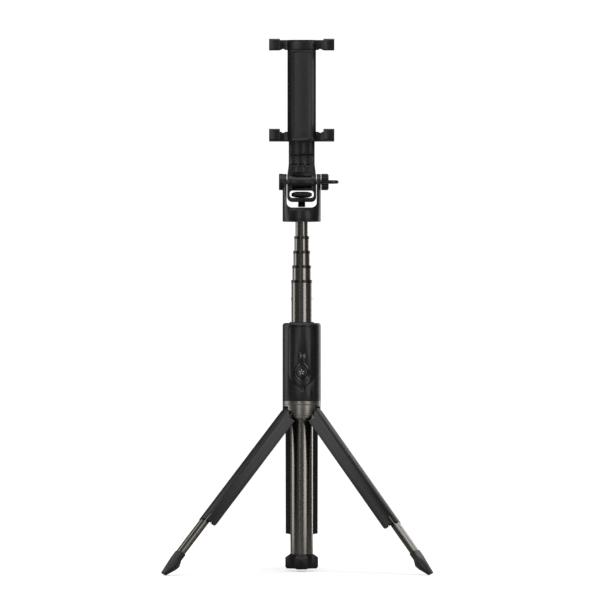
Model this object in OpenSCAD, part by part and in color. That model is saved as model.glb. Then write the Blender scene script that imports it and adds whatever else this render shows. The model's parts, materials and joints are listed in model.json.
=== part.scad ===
// Telescopic selfie stick with a fold-out tripod, a tilting phone clamp and a pull-out remote.
// Millimetres, +Z up the stick. The origin is the centre of the end cap's flat underside.
// The phone side faces -Y. The three legs are splayed, as they stand on a floor.

/* [Stick body] */
// Outer radius of the centre column
column_r = 9.05; // [7.5:0.05:11]
// Wall of the centre column
column_wall = 0.55; // [0.45:0.05:0.7]
// Depth of the hub, grip and yoke outside the column
body_wall = 6.25; // [5.2:0.05:7.5]
// Width of the shallow key flute along the tubes
flute_w = 2.4; // [1.5:0.1:3]
// Depth of the key flute
flute_depth = 0.22; // [0.1:0.02:0.25]

/* [End cap] */
// Height of the three-lobed end cap
cap_h = 12; // [11:0.5:16]
// Depth of the three lobes' points inside the hub's outer face
cap_inset = 0.1; // [0:0.1:0.5]
// Height of the widest part above the underside
cap_wide_z = 7.8; // [6:0.2:9]
// Depth of the plug inside the column
cap_plug_h = 8; // [6:0.5:9]

/* [Hub] */
// Height of the hub's ring above the teeth
ring_h = 5.7; // [5:0.1:9]
// Height of each tooth that parts two legs
tooth_h = 8; // [7:0.5:11]
// Width across a tooth at the ring
tooth_top_w = 22.8; // [21:0.2:24]
// Width across a tooth at its tip
tooth_tip_w = 9.9; // [8:0.1:12]
// Height of the spigot inside the grip
spigot_h = 10; // [8:0.5:11]
// Wall of the grip round the spigot
grip_wall = 2.9; // [2.4:0.1:3.5]

/* [Legs] */
// Depth of the leg pins' axes inside the hub's outer face
pin_inset = 2.5; // [2.3:0.1:2.8]
// Height of the leg pins' axes below the ring's lower edge
pivot_drop = 1.3; // [1:0.1:2]
// Radius of the leg pins
pin_r = 1.2; // [1:0.1:1.4]
// Splay of the front left leg
splay_left = 41.3; // [20:0.1:45]
// Splay of the front right leg
splay_right = 39.2; // [20:0.1:45]
// Splay of the back leg
splay_back = 30; // [20:0.1:45]
// Half of the arc that a leg's shell covers
leg_half_arc = 58.5; // [54:0.5:59]
// Length of a leg's shell below its pin
leg_len = 115; // [95:1:140]
// Rise of a folded leg's lower end above the end cap
leg_rise = 0.2; // [0.1:0.1:1]
// Wall of a leg's shell
leg_wall = 1.2; // [1:0.1:1.5]
// Width of the telescopic rod
rod_w = 9.6; // [8:0.1:10.4]
// Thickness of the telescopic rod
rod_t = 4; // [3.3:0.1:4.1]
// Free length of the leg's channel above the rod
rod_spare = 11; // [9:0.5:20]
// Height of a foot
foot_h = 22; // [20:0.5:26]
// Width across a foot
foot_w = 12.8; // [11:0.2:13]
// Level of the floor that the feet stand on
floor_z = -2; // [-8:0.5:-1]

/* [Grip and remote] */
// Height of the grip
grip_h = 62.4; // [58:0.1:90]
// Radius of the grip's top edge
grip_edge_r = 2.2; // [1:0.1:3]
// Width of the remote
remote_w = 20.8; // [18:0.1:21]
// Foot of the remote above the grip's lower end
remote_z = 12; // [11.5:0.1:13]
// Rim of the grip above the remote
remote_rim = 3.2; // [2.5:0.1:5]
// Wall of the grip between the remote's bay and the column
bay_wall = 0.75; // [0.6:0.05:1]
// Radius of the shutter button
button_r = 4.7; // [3.9:0.1:6]
// How far the shutter button stands proud
button_proud = 0.5; // [0.3:0.1:0.8]
// Radius of the indicator lens
lens_r = 1.9; // [1.5:0.1:2.4]
// Height of the indicator lens above the button's centre
lens_rise = 12.8; // [10.5:0.1:14]

/* [Telescopic tubes] */
// Wall of each tube
tube_wall = 0.48; // [0.4:0.02:0.58]
// Gap between each tube and the one round it
nest_gap = 0.32; // [0.3:0.01:0.36]
// Length of the widest tube that shows above the grip
first_show = 34.4; // [20:0.2:60]
// Length that shows of each further tube
next_show = 11.7; // [6:0.1:30]
// Height of each tube's collar
collar_h = 2.4; // [2:0.1:4]
// Lower end of the widest tube above the end cap
tube_rest_z = 44; // [43:1:60]
// Rise from the lower end of each tube to the next
tube_rise = 14; // [13:0.5:16]

/* [Yoke and tilt hinge] */
// Height of the yoke's solid base
yoke_base_h = 10.8; // [10:0.1:14]
// Thickness of each ear of the fork
ear_t = 3.3; // [2.8:0.1:4]
// Radius of the two ears and their caps
ear_r = 6.6; // [6:0.1:8]
// Radius of the tilt bolt
bolt_r = 2; // [1.5:0.1:2.5]
// Length of the wing on the right-hand knob
wing_len = 8; // [6:0.5:14]
// Thickness of the wing
wing_t = 2.6; // [2:0.1:3.5]

/* [Head] */
// Gap between the head's arms and the fork
head_gap = 0.4; // [0.3:0.05:0.6]
// Thickness of each arm
arm_t = 3.8; // [3:0.1:4]
// Depth of the head's arms
arm_depth = 10; // [9:0.5:12]
// Underside of the cradle below the tilt axis
cradle_drop = 15.9; // [15:0.1:16.4]
// Thickness of the cradle's floor
cradle_floor = 3.1; // [2.5:0.1:3.3]
// Height of the thumbwheel
wheel_h = 4.5; // [3.5:0.1:4.6]
// Radius of the thumbwheel over its ribs
wheel_r = 8.2; // [6.8:0.1:8.8]
// Height of the thumbwheel's ribbed rim
rim_h = 2.6; // [2:0.1:3.2]
// Radius of the camera screw, quarter-inch tripod size
screw_r = 3.175; // [3.17:0.005:3.18]
// Length of the camera screw below the cradle
screw_show = 4.1; // [3.5:0.1:4.3]
// Width of the neck
neck_w = 20.8; // [18:0.1:21.4]
// Thickness of the neck's plate
neck_t = 3.8; // [3:0.1:5]

/* [Phone clamp] */
// Width of the clamp's column
clamp_w = 22.8; // [21:0.1:25]
// Depth of the clamp's column in front of the stick's axis
clamp_front = 5; // [4.6:0.1:6]
// Width over the clamp's jaws
jaw_w = 52; // [46:0.5:64]
// Width of each prong
prong_w = 8.7; // [7:0.1:11]
// Reach of the prongs in front of the stick's axis
prong_reach = 17; // [16:0.5:20]
// Height of the lip at each prong's end
lip_h = 9.3; // [8.5:0.1:12]
// Height of a prong behind its lip
prong_h = 6.4; // [5:0.1:7]
// Thickness of the rubber on each prong
pad_t = 1.2; // [1:0.1:1.6]
// Closed gap between the jaws' rubber pads
phone_gap = 65.8; // [62:0.1:72]
// Foot of the clamp above the tilt axis
clamp_rise = 32.4; // [32:0.1:40]

/* [Hidden] */
$fn = 72;

// Clearances: a running fit on a pin or guide, a gap between moving faces, and a drilled hole
run_gap = 0.05;
face_gap = 0.35;
hole_gap = 0.05;
// Overlap that lets a cut pass right through a face
cut = 1;

// Radii from the column outwards
body_r = column_r + body_wall;
pivot_r = body_r - pin_inset;
spigot_r = body_r - grip_wall;
cap_point_r = body_r - cap_inset;

// Levels up the stick; a folded leg reaches from its pin to the end cap
column_z = cap_h;
ring_z = column_z + leg_rise + leg_len + pivot_drop;
tooth_z = ring_z - tooth_h;
grip_z = ring_z + ring_h;
grip_top = grip_z + grip_h;
pivot_z = ring_z - pivot_drop;
column_bore_r = column_r - column_wall;
bush_h = 4.4;
bush_proud = 0.8;
column_top = grip_top + bush_proud - bush_h;
hub_bore_r = column_r + hole_gap;
core_r = column_r + 0.85;
bush_r = column_r + 0.8;

// Telescopic tubes, numbered from the widest
function tube_r(i) = column_bore_r - nest_gap - (i - 1) * (tube_wall + nest_gap);
function tube_bore(i) = tube_r(i) - tube_wall;
function tube_top(i) = grip_top + first_show + (i - 1) * next_show;
function tube_foot(i) = cap_h + tube_rest_z + (i - 1) * tube_rise;
glide_h = 3;
lock_r = 1.1;

// Yoke and tilt hinge; the camera screw's tip clears the floor of the fork
pan_gap = 0.4;
yoke_z = tube_top(5);
stud_r = 2.5;
stud_top = yoke_z + 7.1;
pan_thread_r = 1.4;
fork_w = 2 * (body_r - ear_t);
head_w = fork_w - 2 * head_gap;
tip_gap = 0.8;
tilt_rise = yoke_base_h + cradle_drop + screw_show + tip_gap;
tilt_z = yoke_z + tilt_rise;
cap_out = body_r + 2.9;
knob_out = body_r + 6.3;

// Legs, in the order left, right and back
AZIMUTH = [210, 330, 90];
SPLAY = [splay_left, splay_right, splay_back];
cap_screw_r = 1.4;
pin_half = sqrt(pow(body_r - 0.1, 2) - pow(pivot_r + pin_r, 2));
tongue_r = pivot_r - core_r - face_gap;
tongue_w = 7;
leg_in_r = column_r + 0.45;
leg_z = pivot_z - leg_len;
leg_block_h = 14;
flank_x = 3.6;
rod_x = leg_in_r + 0.7;
rod_gap = 0.3;
rod_len = leg_len - leg_block_h - rod_spare;
foot_sole_x = [rod_x + 0.3, rod_x + 3.9];
foot_tuck = 6;
foot_socket = 8;

// Length from the pin to the sole, so that the splayed foot's lowest edge meets the floor
function leg_reach(i) =
    (pivot_z - floor_z + (foot_sole_x[0] - pivot_r) * sin(SPLAY[i])) / cos(SPLAY[i]);
function sole_z(i) = pivot_z - leg_reach(i);

// The grip's screws: each head lies just inside the shell, and its shank ends beside the column
grip_head_r = 1.5;
grip_shank_r = 0.9;
grip_screw_x = column_r - 0.55;
grip_head_y = 0.1 - sqrt(pow(body_r, 2) - pow(grip_screw_x + grip_head_r, 2));
grip_screw_end_y = -0.4 - sqrt(pow(hub_bore_r, 2) - pow(grip_screw_x - grip_shank_r - hole_gap, 2));

// Remote and its bay, in the front of the grip
remote_foot = grip_z + remote_z;
remote_h = grip_h - remote_z - remote_rim;
remote_top = remote_foot + remote_h;
bay_gap = 0.3;
bay_back_y = column_r + bay_wall;
remote_back_y = bay_back_y + bay_gap;
remote_wall = 1;
button_z = remote_foot + remote_w / 2 + 0.8;
lens_z = button_z + lens_rise;
bezel_w = 1.7;
bezel_depth = 0.7;
part_y = remote_back_y + remote_wall;
board_t = 0.8;
button_back_y = part_y + board_t + 1;

// Head, clamp and jaws
arm_in = head_w / 2 - arm_t;
cradle_z = tilt_z - cradle_drop;
wheel_z = cradle_z + cradle_floor + 0.4;
screw_neck_r = screw_r - 0.575;
clamp_z = tilt_z + clamp_rise;
neck_y = clamp_front + 0.3;
neck_step_z = clamp_z - 10;
clamp_back_y = neck_y - 0.4;
cover_t = 1.8;
pad_z = clamp_z + prong_h + pad_t;
upper_pad_z = pad_z + phone_gap;
jaw_top = upper_pad_z + pad_t + prong_h;
swivel_z = (clamp_z + jaw_top) / 2;
swivel_r = 2.4;
jaw_split_z = jaw_top - lip_h + 1.6;
column_cavity_w = clamp_w - 4.4;
slider_w = column_cavity_w - 0.8;
slider_foot = clamp_z + 24;
slider_y = [-2.6, 0.2];
spring_r = 1.5;
spring_wire_r = 0.3;
spring_x = 4.6;
spring_y = 1.2;
spring_z = clamp_z + 4;

// ---- shared shapes ----

// A cylinder along Y from y0 to y1, or along X from x0 to x1
module along_y(r, y0, y1) {
    translate([0, y1, 0]) rotate([90, 0, 0]) cylinder(r = r, h = y1 - y0);
}
module along_x(r, x0, x1) {
    translate([x0, 0, 0]) rotate([0, 90, 0]) cylinder(r = r, h = x1 - x0);
}

// A box centred on x = 0, from y0 to y1 and z0 to z1
module slab(w, y0, y1, z0, z1) {
    translate([-w / 2, y0, z0]) cube([w, y1 - y0, z1 - z0]);
}

// A ring between two radii
module ring(r_out, r_in, z0, z1) {
    translate([0, 0, z0]) difference() {
        cylinder(r = r_out, h = z1 - z0);
        translate([0, 0, -cut]) cylinder(r = r_in, h = z1 - z0 + 2 * cut);
    }
}

// A rectangle with round corners, as a plan outline
module round_rect(w, h, r) {
    translate([r, 0]) square([w - 2 * r, h]);
    translate([0, r]) square([w, h - 2 * r]);
    for (x = [r, w - r], y = [r, h - r]) translate([x, y]) circle(r = r);
}

// Puts a child, made folded against the stick on the +X side, at leg i
module at_azimuth(i) {
    rotate([0, 0, AZIMUTH[i]]) children();
}
module at_leg(i) {
    at_azimuth(i) translate([pivot_r, 0, pivot_z]) rotate([0, -SPLAY[i], 0])
        translate([-pivot_r, 0, -pivot_z]) children();
}

// ---- centre column, end cap and hub ----

// Shallow flutes that key the tubes, one under each tooth of the hub
module flutes(r, z0, z1) {
    for (a = [0 : 120 : 240])
        rotate([0, 0, a]) slab(flute_w, -r - cut, -r + flute_depth, z0 - cut, z1 + cut);
}

module end_cap() {
    scoop_r = foot_w / 2 + 1.9;
    scoop_x = pivot_r + 0.2;
    color("#242424") difference() {
        union() {
            intersection() {
                rotate([0, 0, 30]) cylinder(r = cap_point_r, h = cap_h, $fn = 6);
                rotate_extrude() polygon([[0, 0], [cap_point_r - 3.2, 0], [cap_point_r - 2, 1.6],
                    [cap_point_r, cap_wide_z], [column_r + 0.2, cap_h], [0, cap_h]]);
            }
            translate([0, 0, cap_h - cut])
                cylinder(r = column_bore_r - hole_gap, h = cap_plug_h + cut);
        }
        for (i = [0 : 2]) at_azimuth(i)
            translate([scoop_x, 0, -cut]) cylinder(r = scoop_r, h = cap_h + cut + 0.01);
        cap_screw_shape(hole_gap);
    }
}

// The small screw behind the column that holds the cap's plug
module cap_screw_shape(gap) {
    translate([0, 0, cap_h + cap_plug_h / 2])
        along_y(cap_screw_r + gap, column_bore_r - 5, column_r + 0.2 + (gap > 0 ? cut : 0));
}

module cap_screw() {
    color("#8c8c8c") difference() {
        cap_screw_shape(0);
        slab(2.4, column_r - 0.2, column_r + cut, cap_h + cap_plug_h / 2 - 0.25,
            cap_h + cap_plug_h / 2 + 0.25);
    }
}

module column_tube() {
    color("#6e6c69") difference() {
        ring(column_r, column_bore_r, column_z, column_top);
        flutes(column_r, column_z, column_top);
        cap_screw_shape(hole_gap);
    }
}

// One tooth at the front, with its flanks drawn out by a gap
module tooth(gap) {
    half_top = tooth_top_w / 2 + gap;
    half_tip = tooth_tip_w / 2 + gap;
    rotate([90, 0, 0]) linear_extrude(body_r + cut) polygon([
        [-half_tip, tooth_z - gap], [half_tip, tooth_z - gap],
        [half_top, ring_z + 0.01], [half_top, ring_z + cut + gap],
        [-half_top, ring_z + cut + gap], [-half_top, ring_z + 0.01]]);
}

module hub() {
    slot_top = pivot_z + tongue_r + 0.3;
    groove_z = ring_z + 2.4;
    color("#7b7976") difference() {
        union() {
            ring(body_r, hub_bore_r, ring_z, grip_z);
            ring(core_r, hub_bore_r, tooth_z, ring_z + cut);
            ring(spigot_r, hub_bore_r, grip_z - cut, grip_z + spigot_h);
            intersection() {
                ring(body_r, hub_bore_r, tooth_z, ring_z + cut);
                for (a = [0 : 120 : 240]) rotate([0, 0, a]) tooth(0);
            }
        }
        ring(body_r + cut, body_r - 0.3, groove_z, groove_z + 0.35);
        for (i = [0 : 2]) at_azimuth(i) {
            translate([core_r, -tongue_w / 2 - face_gap, tooth_z - cut])
                cube([body_r, tongue_w + 2 * face_gap, slot_top - tooth_z + cut]);
            translate([pivot_r, 0, pivot_z]) along_y(pin_r, -pin_half, pin_half);
        }
        grip_screw_places() grip_screw_shape(hole_gap);
    }
}

module leg_pins() {
    color("#a0a0a0") for (i = [0 : 2]) at_azimuth(i)
        translate([pivot_r, 0, pivot_z]) along_y(pin_r, -pin_half, pin_half);
}

// ---- legs ----

// The plan of one leg's share, half the given arc each side of +X at the outside. Its flanks
// meet in front of the axis, so that they stand a little apart where they near the column
module sector(half_arc) {
    far = 3 * body_r;
    lean = atan2(body_r * sin(half_arc), body_r * cos(half_arc) - flank_x);
    polygon([[flank_x, 0], [flank_x + far * cos(lean), -far * sin(lean)], [2 * far, 0],
        [flank_x + far * cos(lean), far * sin(lean)]]);
}

// The room that the rod slides in
module rod_channel() {
    half = rod_w / 2 + rod_gap;
    translate([rod_x - rod_gap, -half]) square([rod_t + 2 * rod_gap, 2 * half]);
    translate([0, -rod_w / 2 + 1.2]) square([rod_x, rod_w - 2.4]);
}

// Two hollows beside the rod channel
module leg_hollows() {
    inner = leg_in_r + leg_wall;
    edge = leg_half_arc - 12;
    start = asin((rod_w / 2 + rod_gap + 0.4) / inner);
    for (s = [-1, 1]) intersection() {
        difference() {
            circle(r = body_r - leg_wall);
            circle(r = inner);
        }
        polygon([[0, 0], [40 * cos(start), s * 40 * sin(start)],
            [40 * cos(edge), s * 40 * sin(edge)]]);
    }
}

module leg_plan() {
    intersection() {
        difference() {
            circle(r = body_r);
            circle(r = leg_in_r);
        }
        sector(leg_half_arc);
    }
}

module leg_shell() {
    block_z = pivot_z - leg_block_h;
    shoulder_z = pivot_z - 2.2;
    color("#262626") difference() {
        union() {
            translate([0, 0, leg_z]) linear_extrude(block_z - leg_z) difference() {
                leg_plan();
                rod_channel();
                leg_hollows();
            }
            difference() {
                translate([0, 0, block_z]) linear_extrude(shoulder_z - block_z) leg_plan();
                for (a = [-60, 60]) rotate([0, 0, a + 90]) tooth(0.45);
                ring(core_r + face_gap, 1, tooth_z - 0.5, ring_z);
            }
            intersection() {
                translate([pivot_r, 0, 0]) union() {
                    translate([0, 0, pivot_z]) along_y(tongue_r, -tongue_w / 2, tongue_w / 2);
                    translate([-tongue_r, -tongue_w / 2, shoulder_z - cut])
                        cube([2 * tongue_r, tongue_w, pivot_z - shoulder_z + cut]);
                }
                translate([0, 0, tooth_z]) cylinder(r = body_r, h = 2 * tooth_h);
            }
        }
        translate([pivot_r, 0, pivot_z])
            along_y(pin_r + run_gap, -tongue_w, tongue_w);
        foot_arch();
    }
}

// Room at the leg's lower end for the top of the foot
module foot_arch() {
    gap = face_gap;
    half = rod_w / 2 + 0.5 + gap;
    translate([0, -half, leg_z - cut])
        cube([rod_x + rod_t + 0.2 + gap, 2 * half, foot_tuck + cut + 0.6]);
}

module rod_shape(i) {
    foot_top = sole_z(i) + foot_h;
    translate([rod_x, -rod_w / 2, foot_top - foot_socket]) cube([rod_t, rod_w, rod_len]);
}

// A plan slice of the foot, tapering to a rounded point at the inner side
module foot_slice(x0, x1, w, z) {
    tip_r = min(2, (x1 - x0) / 4, w / 4);
    translate([0, 0, z]) linear_extrude(0.02) {
        hull() {
            translate([x0 + tip_r, 0]) circle(r = tip_r, $fn = 16);
            for (s = [-1, 1]) translate([x1 - tip_r - w * w / 8 / body_r, s * (w / 2 - tip_r)])
                circle(r = tip_r, $fn = 16);
            translate([x1 - tip_r, 0]) circle(r = tip_r, $fn = 16);
        }
    }
}

// The foot's upper block, which holds the rod's end
module foot_block(wall, z, h) {
    translate([rod_x - 0.5, -rod_w / 2 - wall, z]) cube([rod_t + 0.6, rod_w + 2 * wall, h]);
}

module foot_shape(i) {
    low = sole_z(i);
    top = low + foot_h;
    neck = top - foot_tuck;
    wide = neck - 3.4;
    color("#1f1f1f") difference() {
        union() {
            foot_block(0.3, neck - 0.01, foot_tuck + 0.01);
            hull() {
                foot_block(0.4, neck, 0.02);
                foot_slice(rod_x - 4.6, body_r - 0.1, foot_w, wide);
                foot_slice(rod_x - 3.6, body_r - 0.2, foot_w, wide - 4);
                foot_slice(foot_sole_x[0], foot_sole_x[1] + 0.4, 7, low);
            }
        }
        rod_shape(i);
    }
}

module leg_left() { at_leg(0) leg_shell(); }
module leg_right() { at_leg(1) leg_shell(); }
module leg_back() { at_leg(2) leg_shell(); }
module rod_left() { color("#77746f") at_leg(0) rod_shape(0); }
module rod_right() { color("#77746f") at_leg(1) rod_shape(1); }
module rod_back() { color("#77746f") at_leg(2) rod_shape(2); }
module foot_left() { at_leg(0) foot_shape(0); }
module foot_right() { at_leg(1) foot_shape(1); }
module foot_back() { at_leg(2) foot_shape(2); }

// ---- grip ----

module grip_screw_places() {
    for (s = [-1, 1]) translate([s * grip_screw_x, 0, grip_z + 5.6]) children();
}

module grip_screw_shape(gap) {
    along_y(grip_head_r + gap, grip_head_y, grip_head_y + 1.2);
    along_y(grip_shank_r + gap, grip_head_y + 1.2 - gap, grip_screw_end_y);
    if (gap > 0) along_y(grip_head_r + gap, -body_r, grip_head_y + cut);
}

// The remote's outline as seen from the front: flat top, round lower end
module remote_outline(gap) {
    w = remote_w + 2 * gap;
    translate([-w / 2, remote_foot + remote_w / 2]) square([w, remote_h - remote_w / 2 - 2]);
    translate([-w / 2 + 2, remote_foot + remote_w / 2])
        square([w - 4, remote_h - remote_w / 2 + gap]);
    for (s = [-1, 1]) translate([s * (w / 2 - 2), remote_top - 2]) circle(r = 2 + gap / 2);
    translate([0, remote_foot + remote_w / 2]) circle(r = w / 2);
}

module grip_solid() {
    difference() {
        rotate_extrude() polygon(concat([[0, grip_z], [body_r, grip_z]],
            [for (a = [0 : 10 : 90]) [body_r - grip_edge_r * (1 - cos(a)),
                grip_top - grip_edge_r * (1 - sin(a))]], [[0, grip_top]]));
        translate([0, 0, grip_z - cut]) cylinder(r = column_r + hole_gap, h = grip_h + 2 * cut);
        translate([0, 0, grip_z - cut])
            cylinder(r = spigot_r + hole_gap, h = spigot_h + cut + hole_gap);
        translate([0, 0, column_top]) cylinder(r = bush_r + hole_gap, h = bush_h + cut);
    }
}

module grip_front() {
    notch_z = remote_foot - 1.4;
    color("#202020") difference() {
        intersection() {
            grip_solid();
            slab(3 * body_r, -2 * body_r, 0, grip_z - cut, grip_top + cut);
        }
        translate([0, -bay_back_y, 0]) rotate([90, 0, 0])
            linear_extrude(body_r) remote_outline(bay_gap);
        translate([0, -body_r - 4.9, notch_z]) sphere(r = 6);
        grip_screw_places() grip_screw_shape(hole_gap);
    }
}

module grip_rear() {
    wall = 1.6;
    color("#202020") difference() {
        intersection() {
            grip_solid();
            slab(3 * body_r, 0, 2 * body_r, grip_z - cut, grip_top + cut);
        }
        for (z = [0, 1]) {
            low = grip_z + spigot_h + 2 + z * (grip_h - spigot_h - bush_h - 2) / 2;
            high = low + (grip_h - spigot_h - bush_h - 2) / 2 - 2;
            intersection() {
                ring(body_r - wall, column_r + wall, low, high);
                slab(3 * body_r, -cut, 2 * body_r, low, high);
            }
        }
    }
}

module grip_screws() {
    color("#8c8c8c") grip_screw_places() difference() {
        grip_screw_shape(0);
        for (a = [0, 90]) rotate([0, a, 0]) slab(2, -body_r, grip_head_y + 0.6, -0.25, 0.25);
    }
}

module top_bush() {
    color("#2b2b2b") ring(bush_r, tube_r(1) + run_gap, column_top, column_top + bush_h);
}

// ---- remote ----

// A keyhole outline round the button and the lens
module keyhole(grow) {
    big_r = button_r + 0.3 + grow;
    half_bar = 0.7 + grow / 2;
    translate([0, button_z]) circle(r = big_r);
    translate([0, lens_z]) circle(r = lens_r + 0.3 + 0.5 * grow);
    translate([0, button_z]) polygon([[-half_bar, 0], [half_bar, 0], [0.62 * big_r, 0.78 * big_r],
        [half_bar, big_r + 1.2], [half_bar, lens_rise], [-half_bar, lens_rise],
        [-half_bar, big_r + 1.2], [-0.62 * big_r, 0.78 * big_r]]);
}

module remote_front() {
    color("#232323") difference() {
        intersection() {
            translate([0, 0, remote_foot]) cylinder(r = body_r, h = remote_h + 2);
            translate([0, -part_y, 0]) rotate([90, 0, 0]) linear_extrude(body_r)
                remote_outline(0);
        }
        intersection() {
            translate([0, 0, remote_foot]) cylinder(r = body_r - remote_wall, h = remote_h);
            translate([0, -part_y + cut, 0]) rotate([90, 0, 0]) linear_extrude(body_r)
                remote_outline(-remote_wall - 0.4);
        }
        difference() {
            translate([0, -part_y, 0]) rotate([90, 0, 0]) linear_extrude(body_r)
                keyhole(bezel_w);
            translate([0, 0, remote_foot]) cylinder(r = body_r - bezel_depth, h = remote_h);
        }
        translate([0, -part_y + cut, 0]) rotate([90, 0, 0]) linear_extrude(body_r)
            keyhole(0);
    }
}

module remote_back() {
    color("#232323") translate([0, -remote_back_y, 0]) rotate([90, 0, 0])
        linear_extrude(remote_wall) remote_outline(0);
}

module remote_bezel() {
    color("#3a3a3a") difference() {
        intersection() {
            translate([0, 0, remote_foot]) difference() {
                cylinder(r = body_r, h = remote_h);
                translate([0, 0, -cut]) cylinder(r = body_r - bezel_depth, h = remote_h + 2 * cut);
            }
            translate([0, -part_y, 0]) rotate([90, 0, 0]) linear_extrude(body_r)
                keyhole(bezel_w - 0.02);
        }
        for (hole = [[button_z, button_r + 0.3], [lens_z, lens_r + 0.05]])
            translate([0, 0, hole[0]]) along_y(hole[1], -body_r - cut, 0);
    }
}

module led_lens() {
    color("#d8dce0") intersection() {
        translate([0, 0, lens_z]) along_y(lens_r, -body_r - cut, -body_r + bezel_depth + 1.1);
        translate([0, 0, remote_foot]) cylinder(r = body_r - 0.1, h = remote_h);
    }
}

// Half the room inside the remote's front shell, at a height above the parting face
function room_at(h) = sqrt(pow(body_r - remote_wall, 2) - pow(part_y + h, 2));

// The board fits both the front shell's curve and the remote's round foot
module circuit_board() {
    half = min(room_at(board_t) - 1, remote_w / 2 - 3.5);
    foot = button_z - button_r;
    color("#2f6b3c") slab(2 * half, -part_y - board_t, -part_y - 0.02, foot, lens_z + 3);
}

module coin_cell() {
    cell_t = 1.6;
    r = room_at(cell_t) - 0.4;
    color("#b8b8b8") translate([0, 0, lens_z + 4 + r]) along_y(r, -part_y - cell_t, -part_y - 0.02);
}

module tact_switch() {
    y = -part_y - board_t;
    color("#c9c9c9") slab(4.4, y - 0.45, y, button_z - 2.2, button_z + 2.2);
}

module shutter_button() {
    color("#181818") difference() {
        intersection() {
            translate([0, 0, button_z]) along_y(button_r, -body_r - 2, -button_back_y);
            translate([0, 0, remote_foot - 2])
                cylinder(r = body_r + button_proud, h = remote_h);
        }
        for (a = [0 : 90 : 270]) translate([0, 0, button_z]) rotate([0, a, 0])
            translate([0, -body_r - button_proud - 0.1, 2]) cube([0.8, 0.4, 1.8], center = true);
    }
}

// ---- telescopic tubes ----

module tube(i) {
    top = i < 5 ? tube_top(i) - collar_h : tube_top(i) - pan_gap;
    color("#6e6c69") difference() {
        ring(tube_r(i), tube_bore(i), tube_foot(i), top);
        flutes(tube_r(i), tube_foot(i), top);
        if (i == 1) lock_place() along_x(lock_r + hole_gap, -tube_r(1) - cut, tube_r(1) + cut);
    }
}

// The swaged collar that ends a tube and guides the next one
module collar(i) {
    color("#8a8884") ring(tube_r(i) + 0.22, tube_r(i + 1) + run_gap, tube_top(i) - collar_h,
        tube_top(i));
}

// The plastic glide at a tube's lower end
module glide(i) {
    outer = (i == 1 ? column_bore_r : tube_bore(i - 1)) - run_gap;
    color("#d9d6cf") ring(outer, tube_bore(i), tube_foot(i) - glide_h, tube_foot(i));
}

module tube_1() { tube(1); }
module tube_2() { tube(2); }
module tube_3() { tube(3); }
module tube_4() { tube(4); }
module tube_5() { tube(5); }
module collar_1() { collar(1); }
module collar_2() { collar(2); }
module collar_3() { collar(3); }
module collar_4() { collar(4); }
module glide_1() { glide(1); }
module glide_2() { glide(2); }
module glide_3() { glide(3); }
module glide_4() { glide(4); }
module glide_5() { glide(5); }

module lock_place() { translate([0, 0, tube_top(1) - 15.1]) children(); }

// Two small spring buttons in the sides of the widest tube
module lock_buttons() {
    color("#55524e") lock_place() for (s = [-1, 1]) intersection() {
        along_x(lock_r, s > 0 ? tube_r(1) - 0.45 : -tube_r(1) - 0.3,
            s > 0 ? tube_r(1) + 0.3 : -tube_r(1) + 0.45);
        translate([s * (tube_r(1) - 2.2), 0, 0]) sphere(r = 2.5);
    }
}

// ---- yoke and pan ----

module pan_stud() {
    plug_h = 15;
    color("#9a9a98") difference() {
        union() {
            translate([0, 0, yoke_z - pan_gap - plug_h])
                cylinder(r = tube_bore(5) - 0.02, h = plug_h + cut / 2);
            translate([0, 0, yoke_z - pan_gap]) cylinder(r = stud_r, h = stud_top - yoke_z + pan_gap);
        }
        translate([0, 0, stud_top - 8]) cylinder(r = pan_thread_r, h = 8 + cut);
        ring(body_r, stud_r, yoke_z - pan_gap, stud_top + cut);
    }
}

module pan_screw() {
    head_h = 2.4;
    color("#8c8c8c") difference() {
        union() {
            translate([0, 0, stud_top]) cylinder(r = 4.2, h = head_h);
            translate([0, 0, stud_top - 8]) cylinder(r = pan_thread_r, h = 8 + cut / 2);
        }
        translate([0, 0, stud_top + head_h - 1.4]) cylinder(r = 1.6, h = 2, $fn = 6);
    }
}

// The yoke's outline seen from the side: a drum that narrows to two round ears
module yoke_side() {
    base_top = yoke_z + yoke_base_h;
    translate([0, tilt_z]) circle(r = ear_r - 0.2);
    polygon([[-body_r, yoke_z], [body_r, yoke_z], [body_r, base_top], [ear_r + 1.5, base_top + 9],
        [ear_r - 0.2, tilt_z], [-ear_r + 0.2, tilt_z], [-ear_r - 1.5, base_top + 9],
        [-body_r, base_top]]);
}

// The fork's slot seen from the front, with round lower corners
module fork_slot(grow) {
    r = 4.4;
    w = fork_w + 2 * grow;
    floor_at = yoke_z + yoke_base_h - grow;
    translate([-w / 2 + r, floor_at + r]) circle(r = r);
    translate([w / 2 - r, floor_at + r]) circle(r = r);
    translate([-w / 2 + r, floor_at]) square([w - 2 * r, tilt_rise]);
    translate([-w / 2, floor_at + r]) square([w, tilt_rise]);
}

module yoke() {
    color("#222222") difference() {
        union() {
            intersection() {
                translate([0, 0, yoke_z]) cylinder(r = body_r, h = 2 * tilt_rise);
                translate([-2 * body_r, 0, 0]) rotate([90, 0, 90]) linear_extrude(4 * body_r)
                    yoke_side();
            }
            translate([0, 0, tilt_z]) along_x(ear_r - 0.2, -body_r, body_r);
        }
        translate([0, 2 * body_r, 0]) rotate([90, 0, 0]) linear_extrude(4 * body_r) fork_slot(0);
        for (side = [0, 180]) rotate([0, 0, side])
            translate([0, -body_r + 3, 0]) rotate([90, 0, 0]) linear_extrude(body_r)
                fork_slot(2.4);
        translate([0, 0, yoke_z - cut]) cylinder(r = stud_r + run_gap, h = yoke_base_h + cut);
        translate([0, 0, stud_top - 0.3]) cylinder(r = 4.6, h = yoke_base_h);
        translate([0, 0, tilt_z]) along_x(bolt_r + hole_gap, -2 * body_r, 2 * body_r);
    }
}

// ---- tilt hinge ----

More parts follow.
